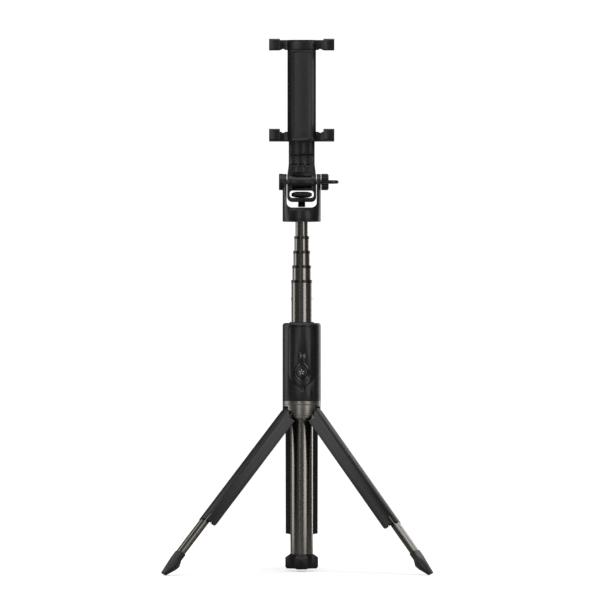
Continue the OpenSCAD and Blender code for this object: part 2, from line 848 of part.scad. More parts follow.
// The bolt's plain shank, with a flat head sunk in the left cap
module hinge_bolt() {
    color("#9a9a98") translate([0, 0, tilt_z]) {
        along_x(bolt_r, -cap_out + 0.6, knob_out - 2.2);
        along_x(3.6, -cap_out + 0.6, -body_r - 0.6);
    }
}

module bolt_cap() {
    color("#222222") translate([0, 0, tilt_z]) difference() {
        intersection() {
            along_x(ear_r, -cap_out, -body_r);
            translate([-cap_out + 10.4, 0, 0]) sphere(r = 12.3);
        }
        along_x(3.6 + hole_gap, -cap_out + 0.6, -body_r - 0.6);
        along_x(bolt_r + hole_gap, -cap_out + 1, -body_r + cut);
    }
}

// The outline of a ribbed wheel: one flat rib and one flat hollow for each count
module ribbed_disc(r, depth, count) {
    polygon([for (k = [0 : count - 1], p = [[-0.27, r - depth], [-0.2, r], [0.2, r],
        [0.27, r - depth]]) let (a = (k + p[0]) * 360 / count) p[1] * [cos(a), sin(a)]]);
}

// The ribbed nut that tightens the hinge, with a wing to turn it
module wing_knob() {
    rib_z = [body_r + 1.2, body_r + 5.4];
    color("#222222") translate([0, 0, tilt_z]) difference() {
        union() {
            along_x(ear_r - 0.4, body_r + face_gap, knob_out);
            translate([rib_z[0], 0, 0]) rotate([0, 90, 0])
                linear_extrude(rib_z[1] - rib_z[0]) ribbed_disc(ear_r, 0.5, 24);
            intersection() {
                slab_x(knob_out - cut, knob_out + wing_len, -ear_r + 0.4, ear_r - 0.4, wing_t);
                translate([knob_out + wing_len - 7.4, 0, -5]) cylinder(r = 7.4, h = 10);
            }
        }
        along_x(bolt_r + run_gap, 0, knob_out - 2.1);
    }
}

// A flat plate from x0 to x1 and y0 to y1, centred on z = 0
module slab_x(x0, x1, y0, y1, t) {
    translate([x0, y0, -t / 2]) cube([x1 - x0, y1 - y0, t]);
}

// ---- head ----

// The head seen from the front: neck above, arms and cradle below
module head_front() {
    r = 4;
    half = head_w / 2;
    translate([-half, cradle_z]) round_rect(head_w, 3 * r, r);
    translate([-half, cradle_z + r]) square([head_w, tilt_z + 6 - cradle_z - r]);
    polygon([[-half, tilt_z + 4], [half, tilt_z + 4], [neck_w / 2, tilt_z + 14],
        [neck_w / 2, swivel_z], [-neck_w / 2, swivel_z], [-neck_w / 2, tilt_z + 14]]);
    translate([0, swivel_z]) circle(r = neck_w / 2);
}

// The window round the thumbwheel, as seen from the front
module cradle_opening() {
    half = wheel_r + 1.4;
    translate([-half, cradle_z + cradle_floor]) round_rect(2 * half, wheel_h + 1.5, 2.2);
}

// The bay between the arms in front of the web that joins them, for the barrel
module barrel_bay(z0) {
    slab(2 * arm_in, -20, 1.5, z0, tilt_z + 7.6);
}

// The head seen from the side: arms round the hinge, then the neck leaning back to its plate
module head_side() {
    half = arm_depth / 2;
    back = neck_y + neck_t;
    translate([0, tilt_z]) circle(r = ear_r - 0.4);
    polygon([[-half, cradle_z], [half, cradle_z], [half, tilt_z], [back - 1, tilt_z + 8],
        [back, tilt_z + 13], [back, 2 * swivel_z], [neck_y, 2 * swivel_z],
        [neck_y, neck_step_z], [neck_y - 4.6, neck_step_z - 1.2], [-half + 1.4, tilt_z + 8],
        [-half, tilt_z]]);
}

module head_frame() {
    barrel_r = 5;
    color("#242424") difference() {
        union() {
            difference() {
                intersection() {
                    translate([0, 40, 0]) rotate([90, 0, 0]) linear_extrude(80) head_front();
                    translate([-40, 0, 0]) rotate([90, 0, 90]) linear_extrude(80) head_side();
                }
                translate([0, 40, 0]) rotate([90, 0, 0]) linear_extrude(80) cradle_opening();
                barrel_bay(cradle_z + cradle_floor + 2);
                neck_pockets();
            }
            translate([0, 0, tilt_z]) {
                along_x(barrel_r, -arm_in - cut, arm_in + cut);
                along_x(barrel_r + 0.6, -arm_in - cut, -arm_in + 2.5);
            }
        }
        translate([0, 0, tilt_z]) along_x(bolt_r + run_gap, -40, 40);
        translate([0, 0, cradle_z - cut]) cylinder(r = screw_r + run_gap, h = cradle_floor + 2 * cut);
        translate([0, 0, swivel_z]) along_y(swivel_r + hole_gap, 0, 40);
    }
}

// Three columns of lightening pockets in the front of the neck
module neck_pockets() {
    rib = 1.4;
    col_w = (neck_w - 2 * 2.4 - 2 * rib) / 3;
    for (k = [-1 : 1]) {
        x = k * (col_w + rib);
        translate([x - col_w / 2, -20, neck_step_z + 0.6])
            cube([col_w, 20 + neck_y + 1.1, clamp_z - neck_step_z - 1.4]);
        translate([x - col_w / 2, -20, neck_step_z - 7.4])
            cube([col_w, 20 + neck_y - 3.3, 6]);
        translate([x - col_w / 2, -20, neck_step_z - 9.2])
            cube([col_w, 20 + neck_y - 0.4, 1.4]);
        translate([x - col_w / 2, -20, neck_step_z - 14.6])
            cube([col_w, 20 - arm_depth / 2 + 2.7, 4]);
    }
}

module thumbwheel() {
    rise = (wheel_h - rim_h) / 2;
    face_r = screw_r + 2;
    color("#1e1e1e") translate([0, 0, wheel_z]) difference() {
        union() {
            cylinder(r1 = face_r, r2 = wheel_r - 0.7, h = rise);
            translate([0, 0, rise]) linear_extrude(rim_h) ribbed_disc(wheel_r, 0.5, 28);
            translate([0, 0, rise + rim_h]) cylinder(r1 = wheel_r - 0.7, r2 = face_r, h = rise);
        }
        translate([0, 0, -cut]) cylinder(r = screw_neck_r + 0.02, h = wheel_h + 2 * cut);
    }
}

// Captive camera screw: a full-size end below the cradle, and a thinner neck up to the wheel
module camera_screw() {
    tip = cradle_z - screw_show;
    top = wheel_z + wheel_h - 0.4;
    shoulder = cradle_z - 0.3;
    bevel = 0.4;
    color("#3c3c3c") rotate_extrude() polygon([[0, tip], [screw_r - bevel, tip],
        [screw_r, tip + bevel], [screw_r, shoulder], [screw_neck_r, shoulder + bevel],
        [screw_neck_r, top], [0, top]]);
}

// ---- phone clamp ----

// The clamp column's plan: a crowned front, two bevelled corners and a flat back
module clamp_plan(w, y_back) {
    half = w / 2;
    front = -clamp_front;
    bevel = 3.6;
    polygon([[-half, y_back], [-half, front + 1.8], [-half + bevel, front],
        [half - bevel, front], [half, front + 1.8], [half, y_back]]);
}

// Two prongs with lips at their ends, joined by a bar behind; flipped for the upper jaw
module jaw_frame() {
    half = jaw_w / 2;
    bar_h = lip_h - 1.6;
    for (s = [-1, 1]) {
        x0 = s > 0 ? half - prong_w : -half;
        translate([x0, 0, 0]) rotate([90, 0, 90]) linear_extrude(prong_w) polygon([
            [-prong_reach + 1, 0], [2.6, 0], [2.6, prong_h], [-prong_reach + 3, prong_h],
            [-prong_reach + 2.6, lip_h], [-prong_reach + 0.6, lip_h],
            [-prong_reach, lip_h - 0.8], [-prong_reach, 1]]);
    }
    difference() {
        slab(jaw_w - 2 * prong_w + 0.6, -2.6, 2.6, 0, bar_h);
        for (s = [-1, 1]) translate([s * (half - prong_w - 2.4), 0, bar_h + 1.2])
            along_y(2, -cut - 2.6, 2.6 + cut);
    }
}

module jaw_pads() {
    for (s = [-1, 1]) translate([s * (jaw_w - prong_w) / 2, 0, 0])
        slab(prong_w - 1.2, -prong_reach + 3.4, 2.2, 0, pad_t);
}

module clamp_cavity(z0, z1) {
    slab(column_cavity_w, slider_y[0] - 0.4, clamp_back_y + cut, z0, z1);
}

module clamp_housing() {
    color("#212121") difference() {
        union() {
            translate([0, 0, clamp_z]) linear_extrude(jaw_split_z - clamp_z - 0.3)
                clamp_plan(clamp_w, clamp_back_y);
            translate([0, 0, clamp_z]) jaw_frame();
        }
        clamp_cavity(clamp_z + 3, jaw_top);
        pad_pocket();
    }
}

// The shallow bed of the rubber strip on the column's front
module pad_pocket() {
    slab(clamp_w - 7.4, -clamp_front - cut, -clamp_front + 0.6, clamp_z + 3, jaw_split_z - 2.3);
}

module back_pad() {
    gap = 0.1;
    color("#2e2e2e") slab(clamp_w - 7.4 - 2 * gap, -clamp_front - 0.35, -clamp_front + 0.6,
        clamp_z + 3 + gap, jaw_split_z - 2.3 - gap);
}

module clamp_back_cover() {
    low = clamp_z + 3.2;
    high = jaw_split_z - 0.5;
    color("#212121") difference() {
        slab(column_cavity_w - 0.2, clamp_back_y - cover_t, clamp_back_y, low, high);
        translate([0, 0, swivel_z]) along_y(swivel_r + hole_gap, 0, 20);
        clamp_screw_places() clamp_screw_shape(hole_gap);
    }
}

module clamp_screw_places() {
    x = column_cavity_w / 2 - 2.6;
    for (s = [-1, 1], z = [clamp_z + 7, jaw_split_z - 5]) translate([s * x, 0, z]) children();
}

module clamp_screw_shape(gap) {
    along_y(1.2 + gap, clamp_back_y - 0.7, clamp_back_y + (gap > 0 ? cut : 0));
    along_y(0.7 + gap, clamp_back_y - cover_t - (gap > 0 ? cut : 0), clamp_back_y - 0.7 + gap);
}

module clamp_screws() {
    color("#8c8c8c") clamp_screw_places() difference() {
        clamp_screw_shape(0);
        slab(1.6, clamp_back_y - 0.3, clamp_back_y + cut, -0.2, 0.2);
    }
}

// The pivot behind the clamp: a plate in the cover, a shank and a broad head behind the neck
module swivel_bolt() {
    back = neck_y + neck_t;
    color("#9a9a98") translate([0, 0, swivel_z]) difference() {
        union() {
            along_y(swivel_r, clamp_back_y - cover_t - 0.8, back + 0.3);
            along_y(4.4, clamp_back_y - cover_t - 0.8, clamp_back_y - cover_t - 0.02);
            along_y(4.6, back + 0.3, back + 1.7);
        }
        slab(5.6, back + 1.2, back + 3, -0.5, 0.5);
    }
}

module upper_jaw() {
    color("#212121") difference() {
        union() {
            translate([0, 0, jaw_split_z]) linear_extrude(jaw_top - jaw_split_z)
                clamp_plan(clamp_w, clamp_back_y);
            translate([0, 0, jaw_top]) mirror([0, 0, 1]) jaw_frame();
            slab(slider_w, slider_y[0], slider_y[1], slider_foot, jaw_split_z + cut);
        }
        difference() {
            slab(2 * clamp_w, -prong_reach - cut, clamp_back_y + cut, jaw_split_z - 12, jaw_split_z);
            slab(slider_w, slider_y[0], slider_y[1], slider_foot, jaw_split_z + cut);
            jaw_keep();
        }
    }
}

// The part of the upper jaw that hangs below the housing's top, beside the column
module jaw_keep() {
    for (s = [-1, 1]) translate([s * (clamp_w / 2 + face_gap + 20), 0, 0])
        slab(40, -prong_reach - 2 * cut, clamp_back_y + 2 * cut, jaw_split_z - 13, jaw_split_z);
}

module jaw_pads_lower() {
    color("#333333") translate([0, 0, clamp_z + prong_h]) jaw_pads();
}
module jaw_pads_upper() {
    color("#333333") translate([0, 0, upper_pad_z]) jaw_pads();
}

// One ring of a coil's wire at turn t, and the closed tube swept through the rings
function wire_ring(t, pitch, sides) = [for (k = [0 : sides - 1])
    let (a = 360 * k / sides, r = spring_r - spring_wire_r + spring_wire_r * cos(a))
    [r * cos(360 * t), r * sin(360 * t), t * pitch + spring_wire_r * sin(a)]];

module coil(turns, pitch) {
    sides = 6;
    steps = 12;
    count = turns * steps;
    points = [for (j = [0 : count]) each wire_ring(j / steps, pitch, sides)];
    skin = [for (j = [0 : count - 1], k = [0 : sides - 1])
        [j * sides + k, j * sides + (k + 1) % sides, (j + 1) * sides + (k + 1) % sides,
            (j + 1) * sides + k]];
    lids = [[for (k = [sides - 1 : -1 : 0]) k], [for (k = [0 : sides - 1]) count * sides + k]];
    polyhedron(points, concat(skin, lids), convexity = 8);
}

module jaw_springs() {
    turns = 12;
    height = slider_foot - spring_z - 1.2;
    color("#b0b0b0") for (s = [-1, 1])
        translate([s * spring_x, spring_y, spring_z + 0.6]) coil(turns, height / turns);
}

end_cap();
cap_screw();
column_tube();
hub();
leg_pins();
grip_front();
grip_rear();
grip_screws();
top_bush();
remote_front();
remote_back();
remote_bezel();
led_lens();
circuit_board();
coin_cell();
tact_switch();
shutter_button();
tube_1();
tube_2();
tube_3();
tube_4();
tube_5();
collar_1();
collar_2();
collar_3();
collar_4();
glide_1();
glide_2();
glide_3();
glide_4();
glide_5();
lock_buttons();
pan_stud();
pan_screw();
yoke();
hinge_bolt();
bolt_cap();
wing_knob();
head_frame();
thumbwheel();
camera_screw();
clamp_housing();
clamp_back_cover();
back_pad();
upper_jaw();
jaw_springs();
jaw_pads_lower();
jaw_pads_upper();
clamp_screws();
swivel_bolt();
leg_left();
leg_right();
leg_back();
rod_left();
rod_right();
rod_back();
foot_left();
foot_right();
foot_back();
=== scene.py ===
import json
import math
import bmesh
import bpy
from mathutils import Matrix, Vector


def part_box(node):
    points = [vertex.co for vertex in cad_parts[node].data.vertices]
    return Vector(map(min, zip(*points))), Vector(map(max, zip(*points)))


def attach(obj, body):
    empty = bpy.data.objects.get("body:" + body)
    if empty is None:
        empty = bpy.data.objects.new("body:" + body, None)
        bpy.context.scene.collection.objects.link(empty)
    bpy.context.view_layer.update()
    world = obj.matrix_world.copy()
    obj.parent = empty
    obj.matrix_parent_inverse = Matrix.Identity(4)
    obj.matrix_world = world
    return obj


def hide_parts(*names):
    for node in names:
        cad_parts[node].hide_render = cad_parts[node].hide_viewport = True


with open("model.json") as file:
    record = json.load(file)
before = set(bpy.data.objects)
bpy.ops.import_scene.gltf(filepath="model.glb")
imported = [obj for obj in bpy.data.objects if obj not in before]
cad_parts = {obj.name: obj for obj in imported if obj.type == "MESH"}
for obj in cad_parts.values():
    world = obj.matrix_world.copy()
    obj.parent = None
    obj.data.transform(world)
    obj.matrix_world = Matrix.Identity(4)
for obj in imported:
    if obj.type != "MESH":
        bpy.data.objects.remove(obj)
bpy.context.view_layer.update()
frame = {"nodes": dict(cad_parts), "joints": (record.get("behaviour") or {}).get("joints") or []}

# ---- centre column ----
# The fixed tube inside the grip and hub. Drawn aluminium, keyed by three shallow flutes and
# anodised a warm gunmetal grey. It is pressed into the hub, and the end cap plugs its foot.
MM = 0.001


def linear(hex_colour):
    """An sRGB hex colour as linear red, green, blue and alpha."""
    parts = [int(hex_colour[i:i + 2], 16) / 255 for i in (1, 3, 5)]
    return [c / 12.92 if c <= 0.04045 else ((c + 0.055) / 1.055) ** 2.4 for c in parts] + [1.0]


def add(tree, kind, values=None, links=None, **settings):
    """Adds a node with its settings, its sockets' values and its incoming links."""
    node = tree.nodes.new(kind)
    for key, value in settings.items():
        setattr(node, key, value)
    for socket, value in (values or {}).items():
        node.inputs[socket].default_value = value
    for socket, source in (links or {}).items():
        tree.links.new(source, node.inputs[socket])
    return node


def new_finish(name, coordinates="Object", **sockets):
    """A material with one shader, its node tree, the shader and the piece's own coordinates."""
    finish = bpy.data.materials.new(name)
    finish.use_nodes = True
    tree = finish.node_tree
    tree.nodes.clear()
    shader = add(tree, "ShaderNodeBsdfPrincipled",
                 {key.replace("_", " "): value for key, value in sockets.items()})
    add(tree, "ShaderNodeOutputMaterial", links={"Surface": shader.outputs["BSDF"]})
    place = add(tree, "ShaderNodeTexCoord")
    return finish, tree, shader, place.outputs[coordinates]


def two_tones(tree, factor, dark, light, low=0.3, high=0.75):
    """A colour that runs from dark to light with a pattern."""
    ramp = add(tree, "ShaderNodeValToRGB", links={"Fac": factor})
    for element, at, colour in zip(ramp.color_ramp.elements, (low, high), (dark, light)):
        element.position, element.color = at, linear(colour)
    return ramp.outputs["Color"]


def drawn_aluminium(name, dark, light, roughness, coordinates="Object", line_mm=0.5):
    """Drawn and anodised aluminium: long soft draw lines and a satin gloss that smears along
    the tube. Real lines are 0.05 mm apart, too fine to show, so they are drawn at 0.5 mm."""
    finish, tree, shader, place = new_finish(name, coordinates, Metallic=1.0, Roughness=roughness)
    along = add(tree, "ShaderNodeMapping",
                {"Scale": (1 / (line_mm * MM), 1 / (line_mm * MM), 1 / (90 * MM))},
                {"Vector": place}, vector_type="POINT")
    lines = add(tree, "ShaderNodeTexNoise", {"Scale": 1.0, "Detail": 3.0, "Roughness": 0.6},
                {"Vector": along.outputs["Vector"]}).outputs["Fac"]
    rough = add(tree, "ShaderNodeMapRange",
                {"To Min": roughness - 0.04, "To Max": roughness + 0.05}, {"Value": lines})
    bump = add(tree, "ShaderNodeBump", {"Strength": 0.15, "Distance": 0.01 * MM}, {"Height": lines})
    tree.links.new(two_tones(tree, lines, dark, light), shader.inputs["Base Color"])
    tree.links.new(rough.outputs["Result"], shader.inputs["Roughness"])
    tree.links.new(bump.outputs["Normal"], shader.inputs["Normal"])
    return finish


def finish_solid(node, finish):
    """Gives a CAD solid its finish."""
    slots = frame["nodes"][node].data.materials
    slots.clear()
    slots.append(finish)


gunmetal = drawn_aluminium("drawn_aluminium_gunmetal", "#77736d", "#8f8b84", 0.19)
finish_solid("column_tube", gunmetal)

# ---- end cap ----
# A three-lobed foot that plugs the column. Moulded ABS with a spark-eroded grain, scooped in
# three places for the folded feet, and held by one small screw behind the column.


def moulded_abs(name, dark, light, roughness, grain_mm=0.5, grain_depth_mm=0.012):
    """Moulded black ABS: a fine even grain from the spark-eroded mould, a gloss that hands have
    made uneven, and a painted highlight that makes the sharp edges paler. The grain is drawn at
    twice its real 0.25 mm to show."""
    finish, tree, shader, place = new_finish(name, Roughness=roughness, IOR=1.53,
                                             Specular_IOR_Level=0.4)
    grain = add(tree, "ShaderNodeTexNoise", {"Scale": 1 / (grain_mm * MM), "Detail": 2.0},
                {"Vector": place}).outputs["Fac"]
    smear = add(tree, "ShaderNodeTexNoise", {"Scale": 1 / (13 * MM), "Detail": 3.0},
                {"Vector": place}).outputs["Fac"]
    # Painted highlight: the sharp edges, found by pointiness, are mixed towards a paler grey
    edge = add(tree, "ShaderNodeMapRange", {"From Min": 0.53, "From Max": 0.68, "To Max": 0.55},
               {"Value": add(tree, "ShaderNodeNewGeometry").outputs["Pointiness"]})
    painted_edge_highlight = add(tree, "ShaderNodeMix", data_type="RGBA",
               links={0: edge.outputs["Result"], 6: two_tones(tree, smear, dark, light)})
    # The paler grey of the painted edge highlight
    painted_edge_highlight.inputs[7].default_value = linear("#323234")
    rough = add(tree, "ShaderNodeMapRange",
                {"To Min": roughness - 0.08, "To Max": roughness + 0.08}, {"Value": smear})
    bump = add(tree, "ShaderNodeBump", {"Strength": 0.5, "Distance": grain_depth_mm * MM},
               {"Height": grain})
    tree.links.new(painted_edge_highlight.outputs[2], shader.inputs["Base Color"])
    tree.links.new(rough.outputs["Result"], shader.inputs["Roughness"])
    tree.links.new(bump.outputs["Normal"], shader.inputs["Normal"])
    return finish


def new_piece(name, bm, finish, body, slot, *replaced):
    """Makes a piece from a mesh under construction, and fixes it to its body."""
    bmesh.ops.recalc_face_normals(bm, faces=bm.faces)
    for face in bm.faces:
        face.smooth = True
    for edge in bm.edges:
        edge.smooth = len(edge.link_faces) == 2 and edge.calc_face_angle(0) < math.radians(32)
    mesh = bpy.data.meshes.new(name)
    bm.to_mesh(mesh)
    bm.free()
    mesh.materials.append(finish)
    piece = bpy.data.objects.new(name, mesh)
    bpy.context.scene.collection.objects.link(piece)
    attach(piece, body)
    if replaced:
        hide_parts(*replaced)
    return piece


def eased(name, node, finish, body, slot, width_mm):
    """A CAD solid with its edges rounded, as its mould or tumbler leaves them."""
    source = frame["nodes"][node].data
    bm = bmesh.new()
    corners = [bm.verts.new(v.co) for v in source.vertices]
    for face in source.polygons:
        bm.faces.new([corners[i] for i in face.vertices])
    bmesh.ops.remove_doubles(bm, verts=bm.verts, dist=0.002 * MM)
    bmesh.ops.dissolve_limit(bm, angle_limit=math.radians(0.6), verts=bm.verts, edges=bm.edges)
    edges = [e for e in bm.edges
             if len(e.link_faces) == 2 and e.calc_face_angle(0) > math.radians(28)]
    bmesh.ops.bevel(bm, geom=edges, offset=width_mm * MM, segments=2, profile=0.5,
                    affect="EDGES", clamp_overlap=True)
    return new_piece(name, bm, finish, body, slot, node)


cap_abs = moulded_abs("moulded_abs_end_cap", "#161617", "#1f1f20", 0.4)
eased("end_cap_moulding", "end_cap", cap_abs, "base", "abs_cap", 0.35)


def plated_steel(name, colour, light, roughness):
    """Zinc-plated turned steel: bright, with a blotchy passivated tint in its colour and gloss."""
    finish, tree, shader, place = new_finish(name, Metallic=1.0, Roughness=roughness)
    cloud = add(tree, "ShaderNodeTexNoise", {"Scale": 1 / (1.2 * MM), "Detail": 3.0},
                {"Vector": place}).outputs["Fac"]
    rough = add(tree, "ShaderNodeMapRange", {"To Min": roughness - 0.08, "To Max": roughness + 0.1},
                {"Value": cloud})
    tree.links.new(two_tones(tree, cloud, colour, light), shader.inputs["Base Color"])
    tree.links.new(rough.outputs["Result"], shader.inputs["Roughness"])
    return finish


zinc_steel = plated_steel("zinc_plated_steel", "#8b8b8a", "#b4b4b0", 0.3)
finish_solid("cap_screw", zinc_steel)

# ---- hub ----
# The ring that carries the three legs, with a tooth between each pair and two turned lines.
# Die-cast, turned and anodised gunmetal, a little lighter than the tubes; pressed on the column.


def turned_aluminium(name, dark, light, roughness, pitch_mm=0.6):
    """Turned and anodised aluminium: faint rings round the axis, which break up the gloss.
    The tool's real 0.1 mm feed is too fine to show, so the rings are drawn at 0.6 mm."""
    finish, tree, shader, place = new_finish(name, Metallic=1.0, Roughness=roughness)
    rings = add(tree, "ShaderNodeMapping", {"Scale": (25, 25, 1 / (pitch_mm * MM))},
                {"Vector": place})
    lines = add(tree, "ShaderNodeTexNoise", {"Scale": 1.0, "Detail": 3.0},
                {"Vector": rings.outputs["Vector"]}).outputs["Fac"]
    rough = add(tree, "ShaderNodeMapRange",
                {"To Min": roughness - 0.05, "To Max": roughness + 0.08}, {"Value": lines})
    bump = add(tree, "ShaderNodeBump", {"Strength": 0.3, "Distance": 0.012 * MM}, {"Height": lines})
    tree.links.new(two_tones(tree, lines, dark, light), shader.inputs["Base Color"])
    tree.links.new(rough.outputs["Result"], shader.inputs["Roughness"])
    tree.links.new(bump.outputs["Normal"], shader.inputs["Normal"])
    return finish


hub_metal = turned_aluminium("turned_aluminium_hub", "#77736d", "#928e87", 0.34)
eased("hub_casting", "hub", hub_metal, "base", "anodised_hub", 0.25)
finish_solid("leg_pins", zinc_steel)

# ---- legs ----
# Three half-round shells that close round the column when folded. Glass-filled ABS, moulded
# with two hollows and a channel for the rod, each turning on a steel pin in the hub.
leg_abs = moulded_abs("moulded_abs_leg", "#09090a", "#0f0f10", 0.44)
joints = {joint["name"]: joint for joint in frame["joints"]}
leg_places = {}
for side in ("left", "right", "back"):
    eased(f"leg_shell_{side}", f"leg_{side}", leg_abs, f"leg_{side}", "abs_leg", 0.3)
    # The leg's own frame: its origin on the pin, X outwards and Z up the leg
    pin = Vector(joints[f"leg_{side}_fold"]["pos_m"])
    down = Vector(joints[f"rod_{side}_slide"]["axis"]).normalized()
    azimuth = math.atan2(pin.y, pin.x)
    splay = math.atan2(math.hypot(down.x, down.y), -down.z)
    leg_places[side] = (Matrix.Translation(pin) @ Matrix.Rotation(azimuth, 4, "Z")
                        @ Matrix.Rotation(-splay, 4, "Y"))


def leg_box(side, node):
    """A leg part's lowest and highest corners in the leg's own frame."""
    back = leg_places[side].inverted()
    points = [back @ v.co for v in frame["nodes"][node].data.vertices]
    return [Vector([pick(p[i] for p in points) for i in range(3)]) for pick in (min, max)]


# ---- leg rods ----
# A flat bar that slides in each leg. Extruded aluminium with rounded edges and a long shallow
# groove in its outer face, anodised like the tubes; its lower end is pinned into the foot.
rod_metal = drawn_aluminium("drawn_aluminium_rod", "#66635e", "#837f79", 0.24, "UV")
for side in ("left", "right", "back"):
    low, high = leg_box(side, f"rod_{side}")
    middle_x, half_x, half_y = (low.x + high.x) / 2, (high.x - low.x) / 2, (high.y - low.y) / 2
    corner, groove_w, groove_d = 0.7 * MM, 1.6 * MM, 0.5 * MM
    outline = []
    for sign_x, sign_y, start in ((1, 1, 0), (-1, 1, 90), (-1, -1, 180), (1, -1, 270)):
        for step in range(5):
            turn = math.radians(start + step * 22.5)
            outline.append((middle_x + sign_x * (half_x - corner) + corner * math.cos(turn),
                            sign_y * (half_y - corner) + corner * math.sin(turn)))
    outline += [(middle_x + half_x, -groove_w), (middle_x + half_x - groove_d, -groove_w * 0.6),
                (middle_x + half_x - groove_d, groove_w * 0.6), (middle_x + half_x, groove_w)]
    bm = bmesh.new()
    rings = []
    for z, inset in ((low.z, 0), (high.z - 0.6 * MM, 0), (high.z, 0.5 * MM)):
        shrink = 1 - inset / half_y
        rings.append([bm.verts.new((middle_x + (x - middle_x) * shrink, y * shrink, z))
                      for x, y in outline])
    for below, above in zip(rings, rings[1:]):
        for i in range(len(outline)):
            j = (i + 1) % len(outline)
            bm.faces.new((below[i], below[j], above[j], above[i]))
    bm.faces.new(list(reversed(rings[0])))
    bm.faces.new(rings[-1])
    # The draw lines follow the bar: across it in U, and stretched a hundredfold along it in V
    lines = bm.loops.layers.uv.new("draw_lines")
    for face in bm.faces:
        for loop in face.loops:
            loop[lines].uv = (loop.vert.co.y + loop.vert.co.x, loop.vert.co.z / 100)
    bmesh.ops.transform(bm, verts=bm.verts, matrix=leg_places[side])
    new_piece(f"leg_rod_{side}", bm, rod_metal, f"rod_{side}", "anodised_rod", f"rod_{side}")

# ---- feet ----
# A soft boot on each rod, with a collar above and a flattened tip below. Moulded TPE rubber,
# matt and a little dusty, pushed over the rod's end and pinned.


def moulded_rubber(name, dark, light, roughness, grain_mm=0.8):
    """Moulded rubber: a soft matt black with a velvety edge and a bloom of grey dust. The
    talc-like grain of 0.2 mm is drawn at 0.8 mm."""
    finish, tree, shader, place = new_finish(name, Roughness=roughness, IOR=1.5,
                                             Sheen_Weight=0.15, Sheen_Roughness=0.5)
    bloom = add(tree, "ShaderNodeTexNoise", {"Scale": 1 / (5 * MM), "Detail": 5.0},
                {"Vector": place}).outputs["Fac"]
    grain = add(tree, "ShaderNodeTexNoise", {"Scale": 1 / (grain_mm * MM), "Detail": 2.0},
                {"Vector": place}).outputs["Fac"]
    bump = add(tree, "ShaderNodeBump", {"Strength": 0.5, "Distance": 0.03 * MM}, {"Height": grain})
    rough = add(tree, "ShaderNodeMapRange", {"To Min": roughness - 0.08, "To Max": roughness + 0.1},
                {"Value": bloom})
    tree.links.new(two_tones(tree, bloom, dark, light), shader.inputs["Base Color"])
    tree.links.new(rough.outputs["Result"], shader.inputs["Roughness"])
    tree.links.new(bump.outputs["Normal"], shader.inputs["Normal"])
    return finish


foot_rubber = moulded_rubber("moulded_rubber_foot", "#101011", "#1b1b1c", 0.5)
for side in ("left", "right", "back"):
    eased(f"foot_boot_{side}", f"foot_{side}", foot_rubber, f"rod_{side}", "rubber_foot", 0.9)

# ---- grip ----
# Two half shells that close on the hub's spigot, with a bay for the remote in front. Moulded
# ABS in a satin grain, joined by two screws below the bay, with a glide bush in the top.
grip_abs = moulded_abs("moulded_abs_grip", "#0e0e0f", "#151516", 0.38)
eased("grip_front_shell", "grip_front", grip_abs, "base", "abs_grip", 0.3)
eased("grip_rear_shell", "grip_rear", grip_abs, "base", "abs_grip", 0.15)
dark_steel = plated_steel("blackened_steel", "#2b2a29", "#3b3a38", 0.35)
finish_solid("grip_screws", dark_steel)


def turned_acetal(name, dark, light, roughness):
    """Turned acetal: waxy and smooth, with a soft glow just under the surface."""
    finish, tree, shader, place = new_finish(name, Roughness=roughness, IOR=1.48,
                                             Subsurface_Weight=0.05, Subsurface_Scale=0.5 * MM)
    cloud = add(tree, "ShaderNodeTexNoise", {"Scale": 1 / (3 * MM), "Detail": 2.0},
                {"Vector": place}).outputs["Fac"]
    tree.links.new(two_tones(tree, cloud, dark, light), shader.inputs["Base Color"])
    return finish


black_acetal = turned_acetal("turned_acetal_black", "#202021", "#2b2b2c", 0.35)
white_acetal = turned_acetal("turned_acetal_white", "#cfccc4", "#e0ddd6", 0.4)
eased("top_bush_ring", "top_bush", black_acetal, "base", "pom_black", 0.2)

# ---- remote ----
# A slim radio remote that pulls out of the grip: front shell and back cover in satin ABS, a
# polished keyhole bezel round the lens and button, and a board with a coin cell inside.
remote_abs = moulded_abs("moulded_abs_remote", "#111112", "#181819", 0.36, 0.4, 0.008)
eased("remote_front_shell", "remote_front", remote_abs, "remote", "abs_remote", 0.25)
eased("remote_back_cover", "remote_back", remote_abs, "remote", "abs_remote", 0.2)


def polished_abs(name, dark, light, roughness):
    """Polished black ABS: a wet gloss with a few soft smears from fingers."""
    finish, tree, shader, place = new_finish(name, Roughness=roughness, IOR=1.53, Coat_Weight=0.3,
                                             Coat_Roughness=0.06)
    smear = add(tree, "ShaderNodeTexNoise", {"Scale": 1 / (4 * MM), "Detail": 4.0},
                {"Vector": place}).outputs["Fac"]
    rough = add(tree, "ShaderNodeMapRange", {"To Min": roughness - 0.06, "To Max": roughness + 0.1},
                {"Value": smear})
    tree.links.new(two_tones(tree, smear, dark, light), shader.inputs["Base Color"])
    tree.links.new(rough.outputs["Result"], shader.inputs["Roughness"])
    return finish


gloss_abs = polished_abs("polished_abs_black", "#0a0a0b", "#111112", 0.2)
eased("remote_bezel_ring", "remote_bezel", gloss_abs, "remote", "abs_gloss", 0.12)

lens_acrylic, tree, shader, place = new_finish("moulded_acrylic_lens", Roughness=0.08, IOR=1.49,
                                               Transmission_Weight=0.25, Coat_Weight=0.5)
# Smoked acrylic over the indicator light: glossy, with a paler cloudy core
cloud = add(tree, "ShaderNodeTexNoise", {"Scale": 1 / (2 * MM), "Detail": 2.0}, {"Vector": place})
tree.links.new(two_tones(tree, cloud.outputs["Fac"], "#2b2c2e", "#4d4f52"),
               shader.inputs["Base Color"])
eased("indicator_lens", "led_lens", lens_acrylic, "remote", "lens", 0.3)

board_green, tree, shader, place = new_finish("etched_fibreglass_board", Roughness=0.35, IOR=1.5)
